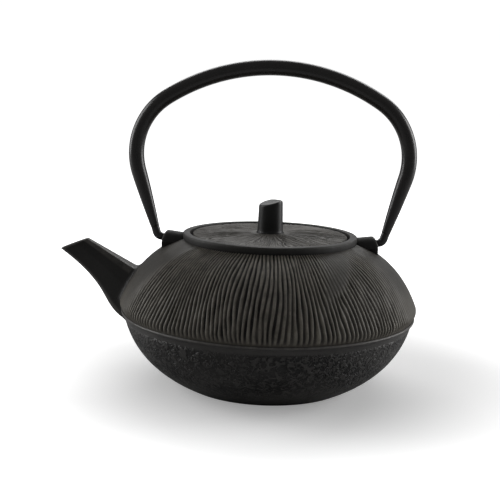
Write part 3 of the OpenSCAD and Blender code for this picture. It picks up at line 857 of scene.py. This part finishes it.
top_r = np.concatenate([np.linspace(2, 30, 26), np.linspace(30.8, 34.2, 16),
                        np.linspace(35, LID_R - 0.9, 12)])
crown = np.clip((top_r - PAD_R) / (LID_R - PAD_R), 0, 1)
lid_line = np.vstack([
    np.column_stack([top_r, lid_edge_z + LID_RISE * (1 - crown ** 2)]),
    arc([LID_R - 0.5, lid_edge_z - 0.5], 0.5, 78, 0, 5),
    [[LID_R, LID_Z + 0.3], [LID_R - 0.3, LID_Z], [SKIRT_R + 0.3, LID_Z], [SKIRT_R, LID_Z - 0.3],
     [SKIRT_R, LID_Z - SKIRT_H + 0.4], [SKIRT_R - 0.4, LID_Z - SKIRT_H],
     [SKIRT_R - SKIRT_T + 0.4, LID_Z - SKIRT_H], [SKIRT_R - SKIRT_T, LID_Z - SKIRT_H + 0.4],
     [SKIRT_R - SKIRT_T, LID_Z - 0.3], [SKIRT_R - SKIRT_T - 0.3, LID_Z], [4.0, LID_Z]],
])
lid_a = around(1100)[None, :]
lid_r, lid_z = lid_line[:, :1], lid_line[:, 1:]
upper = (np.arange(len(lid_line)) < len(top_r) + 4)[:, None]
s = lid_r / LID_R
across = NEEDLES * lid_a / (2 * np.pi) + 0.8 * ripple(lid_a, s, (3, 12), (0.4, 1.4), 41)
across = across + 0.4 * ripple(lid_a, s, (20, 60), (1, 4), 42)
number = np.round(across).astype(int) % NEEDLES
rng = np.random.default_rng(43)
start = rng.uniform(0.24, 0.62, NEEDLES)[number]
depth_of = rng.uniform(0.5, 1.4, NEEDLES)[number]
needle = (0.5 + 0.5 * np.cos(2 * np.pi * across)) ** 1.3
needle = needle * depth_of * smooth_step(start - 0.1, start + 0.12, s)
long_across = np.round(NEEDLES / 2.6) * lid_a + 2.2 * ripple(lid_a, s, (3, 9), (0.4, 1), 44)
long_needle = (0.5 + 0.5 * np.cos(long_across)) ** 4
long_needle = long_needle * smooth_step(0.2, 0.3, s) * smooth_step(0.85, 0.6, s)
lid_hollow = np.clip(needle + 0.55 * long_needle, 0, 1) * upper * smooth_step(PAD_R, PAD_R + 3, lid_r)
lid_hollow = lid_hollow * (0.75 + 0.3 * ripple(lid_a, s, (2, 6), (0.3, 1), 45))
pit = np.hypot(lid_r * np.cos(lid_a) - VENT[0], lid_r * np.sin(lid_a) - VENT[1])
vent_drop = 2.6 * smooth_step(1.4, 1.05, pit) * upper
vent_lip = np.exp(-((pit - 1.75) / 0.3) ** 2) * upper

# %% The lid's surface
lid_points = turned(lid_line, lid_a[0], -0.7 * np.clip(lid_hollow, 0, 1))
lid_points[..., 2] -= vent_drop - 0.12 * vent_lip
# Painted shade: the hollow mask darkens the needle grooves, the vent's pit and the lid's side wall beside the
# gap.
beside_gap = smooth_step(lid_edge_z - 0.7, lid_edge_z - 1.4, lid_z) * (lid_r > SKIRT_R)
# Painted highlights on the rounded edge and the vent's lip, and painted light over the top between the
# needles.
lid_edge_mask = np.exp(-((lid_r - LID_R + 0.5) / 0.5) ** 2) * (lid_z > LID_Z + 1.5)
lid_proud = np.clip(np.maximum(lid_edge_mask, vent_lip) + 0.35 * (1 - lid_hollow) ** 4 * upper, 0, 1)
make_piece("lid_disc", lid_points, "lid", ["lid"], IRON_LID,
           tips=([0, 0, lid_edge_z + LID_RISE], [0, 0, LID_Z]),
           masks={"hollow": np.clip(np.maximum(np.maximum(lid_hollow, vent_drop / 2.6), beside_gap), 0, 1),
                  "proud": lid_proud})

# %% [markdown]
# ## The knob
#
# The knob is a tapered peg, smoother and blacker than the lid, whose top is cut slanting
# towards the spout and the front. Every row is a fraction of the height up to the slanted
# plane above that point, so the wall stays straight and the last row lies in the cut.

# %% The knob
KNOB_Z, KNOB_H, KNOB_SLANT, KNOB_FACING = lid_edge_z + LID_RISE, 19.0, 15.0, 205.0
KNOB_FOOT_R, KNOB_TOP_R = 7.1, 6.6

knob_line = np.vstack([
    [[KNOB_FOOT_R + 0.75, 0.0], [KNOB_FOOT_R + 0.42, 0.012], [KNOB_FOOT_R + 0.15, 0.04], [KNOB_FOOT_R, 0.09]],
    np.column_stack([np.linspace(KNOB_FOOT_R - 0.05, KNOB_TOP_R + 0.02, 12), np.linspace(0.16, 0.925, 12)]),
    [[KNOB_TOP_R - 0.05, 0.955], [KNOB_TOP_R - 0.22, 0.978],
     [KNOB_TOP_R - 0.6, 0.993], [KNOB_TOP_R - 1.2, 1.0]],
    [[KNOB_TOP_R - 2.4, 1.0], [2.6, 1.0], [1.3, 1.0]],
])
knob_a = around(128)[None, :]
facing = math.radians(KNOB_FACING)
kx, ky = knob_line[:, :1] * np.cos(knob_a), knob_line[:, :1] * np.sin(knob_a)
towards = kx * math.cos(facing) + ky * math.sin(facing)
cut = KNOB_H - math.tan(math.radians(KNOB_SLANT)) * (towards + KNOB_TOP_R)
crown_round = 0.9 * smooth_step(1.5, 7.0, -towards) * (knob_line[:, 1:] > 0.9)
dimple = 0.5 * np.exp(-((kx + 2.3) ** 2 + (ky - 1.6) ** 2) / 1.1) * (knob_line[:, 1:] > 0.99)
kz = KNOB_Z + knob_line[:, 1:] * cut - crown_round - dimple
knob_points = np.stack([kx + 0 * kz, ky + 0 * kz, kz], axis=2)
# Painted highlight on the rounding round the top's edge, and painted shade in the dimple.
knob_rim = np.repeat(np.exp(-((np.arange(len(knob_line)) - 17) / 1.1) ** 2)[:, None], 128, axis=1)
make_piece("knob_peg", knob_points, "lid", ["lid_knob"], IRON_KNOB,
           tips=([0, 0, KNOB_Z], [0, 0, float(kz[-1].mean())]),
           masks={"proud": knob_rim, "hollow": np.clip(dimple * 1.6, 0, 1)})
for node in ("knob_screw", "knob_washer"):
    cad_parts[node].data.materials.clear()
    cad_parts[node].data.materials.append(STEEL_SCREW)

# %% [markdown]
# ## The bail
#
# The handle is a steel tube bent in one sweep: a broad arch, two tighter shoulders and two
# straight legs that lean in and thin down. A solid end in each leg turns through an elbow and
# becomes the pin. The whole centre line lies in one upright plane, so a circle carried along
# it needs only the line's own normal and the depth direction. One function carries every part.

# %% The bail's centre line
BAIL_HALF, BAIL_H, TUBE_R, CROWN_R, SHOULDER_R = 75.0, 94.3, 4.2, 107.0, 36.6
NECK_R, ELBOW_R, PIN_R, PIN_LEN, EAR_GAP, NECK_LEN = 2.3, 3.2, 1.7, 7.4, 0.4, 3.0

arch_c = np.array([0.0, HINGE_Z + BAIL_H - CROWN_R])
turn_c = np.array([BAIL_HALF - SHOULDER_R,
                   arch_c[1] + math.sqrt((CROWN_R - SHOULDER_R) ** 2 - (BAIL_HALF - SHOULDER_R) ** 2)])
half_angle = math.degrees(math.asin((BAIL_HALF - SHOULDER_R) / (CROWN_R - SHOULDER_R)))
leg_corner = np.array([EAR_REACH + EAR_GAP + ELBOW_R * math.tan(math.radians(36)), HINGE_Z])
to_turn = turn_c - leg_corner
leg_full = math.sqrt(np.dot(to_turn, to_turn) - SHOULDER_R ** 2)
lean = math.degrees(math.asin(SHOULDER_R / np.linalg.norm(to_turn)) + math.atan2(to_turn[0], to_turn[1]))
elbow_back = ELBOW_R * math.tan(math.radians((90 - lean) / 2))
elbow_c = leg_corner + [-elbow_back, ELBOW_R]
leg_dir = np.array([math.sin(math.radians(lean)), math.cos(math.radians(lean))])
print("legs lean", round(lean, 1), "degrees; shoulder starts", round(leg_full, 1), "mm up")


def carried(line, radii, sides=40):
    """A circle carried along a line in the XZ plane: centre + r (cos q times normal + sin q times Y)."""
    step = np.gradient(line, axis=0)
    step /= np.linalg.norm(step, axis=1, keepdims=True)
    normal = np.stack([step[:, 1], np.zeros(len(line)), -step[:, 0]], axis=1)[:, None, :]
    centre = np.stack([line[:, 0], np.zeros(len(line)), line[:, 1]], axis=1)[:, None, :]
    q = around(sides)[None, :, None]
    depth = np.array([0.0, 1.0, 0.0])
    return centre + radii[:, None, None] * (np.cos(q) * normal + np.sin(q) * depth)


# %% The tube
tube_from = elbow_back + NECK_LEN
leg_up = np.concatenate([[0, 0.35, 1.2], np.linspace(4, leg_full - tube_from, 34)]) + tube_from
half_line = np.vstack([
    leg_corner + leg_up[:, None] * leg_dir,
    arc(turn_c, SHOULDER_R, -lean, 90 - half_angle, 50)[1:],
    arc(arch_c, CROWN_R, 90 - half_angle, 90, 40)[1:],
])
taper = np.clip((leg_up - tube_from) / (leg_full - tube_from), 0, 1)
taper = NECK_R + (TUBE_R - NECK_R) * (0.35 * taper + 0.65 * (1 - (1 - taper) ** 1.7))
taper[0] -= 0.35
half_radii = np.concatenate([taper, np.full(len(half_line) - len(taper), TUBE_R)])
tube_line = np.vstack([half_line, (half_line * [-1, 1])[::-1][1:]])
tube_radii = np.concatenate([half_radii, half_radii[::-1][1:]])
tube_points = carried(tube_line, tube_radii, 48)
worn_grip = np.exp(-((tube_line[:, 1] - tube_line[:, 1].max()) / 12) ** 2)[:, None] * 0.25
make_piece("bail_sweep", tube_points, "bail", ["bail_tube"], BAIL_ENAMEL,
           tips=(tube_points[0].mean(axis=0), tube_points[-1].mean(axis=0)),
           masks={"proud": worn_grip + np.zeros((1, 48))})

# %% The elbows and pins
elbow = arc(elbow_c, ELBOW_R, -lean, -90, 16)
end_line = np.vstack([
    leg_corner + np.array([tube_from + 6, tube_from + 0.2, elbow_back + 1.2])[:, None] * leg_dir,
    elbow,
    np.column_stack([EAR_REACH + np.array([0.1, -0.4, 0.5 - PIN_LEN, -PIN_LEN]),
                     np.full(4, HINGE_Z)]),
])
end_radii = np.concatenate([[1.4, NECK_R - 0.06, NECK_R], np.linspace(NECK_R, NECK_R - 0.12, 16),
                            [PIN_R + 0.1, PIN_R, PIN_R, PIN_R - 0.4]])
for mirror, label in ((-1, "spout"), (1, "rear")):
    points = carried(end_line, end_radii, 32) * [mirror, 1, 1]
    rubbed = np.zeros(points.shape[:2])
    rubbed[-5:-2] = 0.9
    make_piece(f"bail_end_{label}", points, "bail", [f"bail_pin_{label}"],
               BAIL_ENAMEL, tips=(points[0].mean(axis=0), points[-1].mean(axis=0)), masks={"proud": rubbed})

# %% [markdown]
# ## The infuser
#
# The basket hangs in the pot's mouth by a pressed rim. Its side and floor are fine steel mesh.
# Each hole is a real hole: a cell of the grid is four corners and a smaller square inside
# them, and only the four strips between are faces. The holes are a little larger than real
# ones, so that the mesh stays light.

# %% Mesh cloth
def mesh_cloth(u_cells, v_cells, place, keep=None, close_u=False, wire=0.28):
    """Points and faces of a square net. place maps (u, v) in cells to (x, y, z)."""
    cols = u_cells if close_u else u_cells + 1
    gu, gv = np.meshgrid(np.arange(cols), np.arange(v_cells + 1), indexing="ij")
    cu, cv = (g.ravel() for g in np.meshgrid(np.arange(u_cells), np.arange(v_cells), indexing="ij"))
    if keep is not None:
        chosen = keep(cu + 0.5, cv + 0.5)
        cu, cv = cu[chosen], cv[chosen]
    corner = [(cu + du) % cols * (v_cells + 1) + cv + dv for du, dv in ((0, 0), (1, 0), (1, 1), (0, 1))]
    first = cols * (v_cells + 1)
    inner = [first + k * len(cu) + np.arange(len(cu)) for k in range(4)]
    inset = [(wire, wire), (1 - wire, wire), (1 - wire, 1 - wire), (wire, 1 - wire)]
    points = [place(gu.ravel(), gv.ravel(), 0.0)] + [place(cu + du, cv + dv, 0.0) for du, dv in inset]
    strips = [np.column_stack([corner[k], corner[(k + 1) % 4], inner[(k + 1) % 4], inner[k]])
              for k in range(4)]
    verts, faces = np.vstack(points), np.vstack(strips)
    used, renumbered = np.unique(faces, return_inverse=True)
    return verts[used], renumbered.reshape(faces.shape)


INFUSER_R, INFUSER_DEPTH, MESH_T, BAND_T, BAND_H, RIM_T = 39.0, 56.0, 0.5, 0.5, 5.0, 0.8
INFUSER_FLOOR = LEDGE_Z - INFUSER_DEPTH
CELL = 1.15
turns, tall = int(2 * np.pi * INFUSER_R / CELL), int((INFUSER_DEPTH - 1) / CELL)


def on_wall(u, v, _):
    """The net wrapped round the basket: u round it, v up it."""
    a = u * 2 * np.pi / turns
    z = INFUSER_FLOOR + 0.4 + v * (INFUSER_DEPTH - 0.8) / tall
    return np.column_stack([(INFUSER_R - 0.25) * np.cos(a), (INFUSER_R - 0.25) * np.sin(a), z])


verts, faces = mesh_cloth(turns, tall, on_wall, close_u=True)
finish_mesh("basket_side", verts, faces.tolist(), "infuser", ["infuser_wall"], STEEL_MESH)

across_floor = int(2 * INFUSER_R / CELL) + 2
half = across_floor / 2


def on_floor(u, v, _):
    """The net laid flat, its rim points drawn in to the basket's radius, and sagging 0.15 mm in the middle.
    """
    x, y = (u - half) * CELL, (v - half) * CELL
    radius = np.hypot(x, y)
    pull = np.minimum(1, (INFUSER_R - 0.3) / np.maximum(radius, 1e-6))
    sag = 0.15 * (1 - np.clip(radius / INFUSER_R, 0, 1) ** 2)
    return np.column_stack([x * pull, y * pull, INFUSER_FLOOR + 0.3 - sag])


verts, faces = mesh_cloth(across_floor, across_floor, on_floor,
                          keep=lambda u, v: np.hypot(u - half, v - half) * CELL < INFUSER_R + 0.2)
finish_mesh("basket_floor", verts, faces[:, ::-1].tolist(), "infuser", ["infuser_base"],
            STEEL_MESH)

# %% The rim and the band
RIM_OUT = SEAT_R - 0.9
band_in = INFUSER_R + 0.05
band_out = band_in + BAND_T
rim_line = np.array([
    [INFUSER_R - MESH_T, LEDGE_Z + 0.2], [INFUSER_R - MESH_T + 0.2, LEDGE_Z + RIM_T - 0.1],
    [INFUSER_R - MESH_T + 0.6, LEDGE_Z + RIM_T], [RIM_OUT - 0.4, LEDGE_Z + RIM_T],
    [RIM_OUT - 0.1, LEDGE_Z + RIM_T - 0.12], [RIM_OUT, LEDGE_Z + RIM_T / 2],
    [RIM_OUT - 0.1, LEDGE_Z + 0.1], [RIM_OUT - 0.4, LEDGE_Z], [band_out + 0.3, LEDGE_Z],
    [band_out, LEDGE_Z - 0.3], [band_out, LEDGE_Z - BAND_H], [band_in, LEDGE_Z - BAND_H],
    [band_in, LEDGE_Z - 0.1], [INFUSER_R - MESH_T, LEDGE_Z - 0.05],
])
make_piece("basket_rim", turned(rim_line, around(192)), "infuser", ["infuser_rim"],
           STEEL_SHEET, loop=True, crease=45)
low_z = INFUSER_FLOOR - BAND_T
band_line = np.array([
    [band_out, low_z + BAND_H], [band_out, low_z + 0.3], [band_out - 0.3, low_z],
    [INFUSER_R - 2.4, low_z], [INFUSER_R - 2.4, low_z + BAND_T], [band_in - 0.1, low_z + BAND_T],
    [band_in, low_z + BAND_T + 0.1], [band_in, low_z + BAND_H],
])
make_piece("basket_band", turned(band_line, around(192)), "infuser", ["infuser_band"],
           STEEL_SHEET, loop=True, crease=45)

# %% [markdown]
# ## The studio
#
# The pot stands on a white sweep. The lamps are wide, so the shadow is soft, and to the camera
# the floor also glows more with distance, which fades the shadow out near the pot. A dark
# object next to a white floor takes a lot of light from below, so the floor is white only to
# the camera and greyer to everything else. The sky is white too.

# %% Floor and sky
floor_mesh = bpy.data.meshes.new("floor")
corners = np.array([[-6, -6, 0], [6, -6, 0], [6, 6, 0], [-6, 6, 0]], float)
floor_mesh.from_pydata(corners.tolist(), [], [(0, 1, 2, 3)])
floor = bpy.data.objects.new("floor", floor_mesh)
bpy.context.scene.collection.objects.link(floor)

paper = bpy.data.materials.new("white_sweep")
paper.use_nodes = True
tree = paper.node_tree
shader = tree.nodes["Principled BSDF"]
seen = add_node(tree, "ShaderNodeLightPath").outputs["Is Camera Ray"]
tree.links.new(blend_colours(tree, seen, (0.5, 0.5, 0.5), (0.92, 0.92, 0.92)), shader.inputs["Base Color"])
shader.inputs["Roughness"].default_value = 0.9
shader.inputs["Specular IOR Level"].default_value = 0.1
where = add_node(tree, "ShaderNodeTexCoord").outputs["Object"]
moved = add_node(tree, "ShaderNodeVectorMath", {"operation": "SUBTRACT"}, _0=where)
moved.inputs[1].default_value = (0.025, 0.03, 0.0)
length = add_node(tree, "ShaderNodeVectorMath", {"operation": "LENGTH"}, _0=moved.outputs[0])
distance = length.outputs["Value"]
far = add_node(tree, "ShaderNodeMapRange", {"interpolation_type": "SMOOTHSTEP"}, Value=distance)
far.inputs["From Min"].default_value = 0.07
far.inputs["From Max"].default_value = 0.22
far.inputs["To Min"].default_value = 0.26
glow = maths(tree, "MULTIPLY", far.outputs[0], seen)
shader.inputs["Emission Color"].default_value = (1, 1, 1, 1)
tree.links.new(glow, shader.inputs["Emission Strength"])
floor_mesh.materials.append(paper)

world = bpy.data.worlds.new("studio")
bpy.context.scene.world = world
world.use_nodes = True
tree = world.node_tree
tree.nodes.clear()
ray = add_node(tree, "ShaderNodeLightPath").outputs["Is Camera Ray"]
sky = add_node(tree, "ShaderNodeBackground")
sky.inputs["Color"].default_value = (1, 1, 1, 1)
strength = add_node(tree, "ShaderNodeMapRange", None, Value=ray)
strength.inputs["To Min"].default_value = 0.13
strength.inputs["To Max"].default_value = 1.02
tree.links.new(strength.outputs[0], sky.inputs["Strength"])
target = add_node(tree, "ShaderNodeOutputWorld")
tree.links.new(sky.outputs[0], target.inputs[0])
bpy.context.scene.view_settings.view_transform = "Standard"

# %% Lamps
def soft_lamp(name, place, aim, width, height, radiance):
    """A rectangle of even light; its power is radiance times pi times its area."""
    data = bpy.data.lights.new(name, "AREA")
    data.shape, data.size, data.size_y = "RECTANGLE", width, height
    data.energy = radiance * math.pi * width * height
    lamp = bpy.data.objects.new(name, data)
    back = np.array(place, float) - np.array(aim, float)
    back /= np.linalg.norm(back)
    side = np.cross([0, 0, 1], back) if abs(back[2]) < 0.99 else np.array([1.0, 0, 0])
    side /= np.linalg.norm(side)
    turn = np.column_stack([side, np.cross(back, side), back])
    lamp.matrix_world = Matrix.Translation(place) @ Matrix(turn.tolist()).to_4x4()
    bpy.context.scene.collection.objects.link(lamp)
    print(name, round(data.energy, 1), "W")


POT = (0, 0, 0.06)
soft_lamp("overhead", (0.1, 0.75, 0.75), POT, 1.2, 0.6, 2.3)
soft_lamp("right_box", (0.95, 0.2, 0.3), POT, 0.5, 0.7, 4.0)
soft_lamp("left_box", (-0.9, 0.15, 0.38), POT, 0.45, 0.7, 3.2)
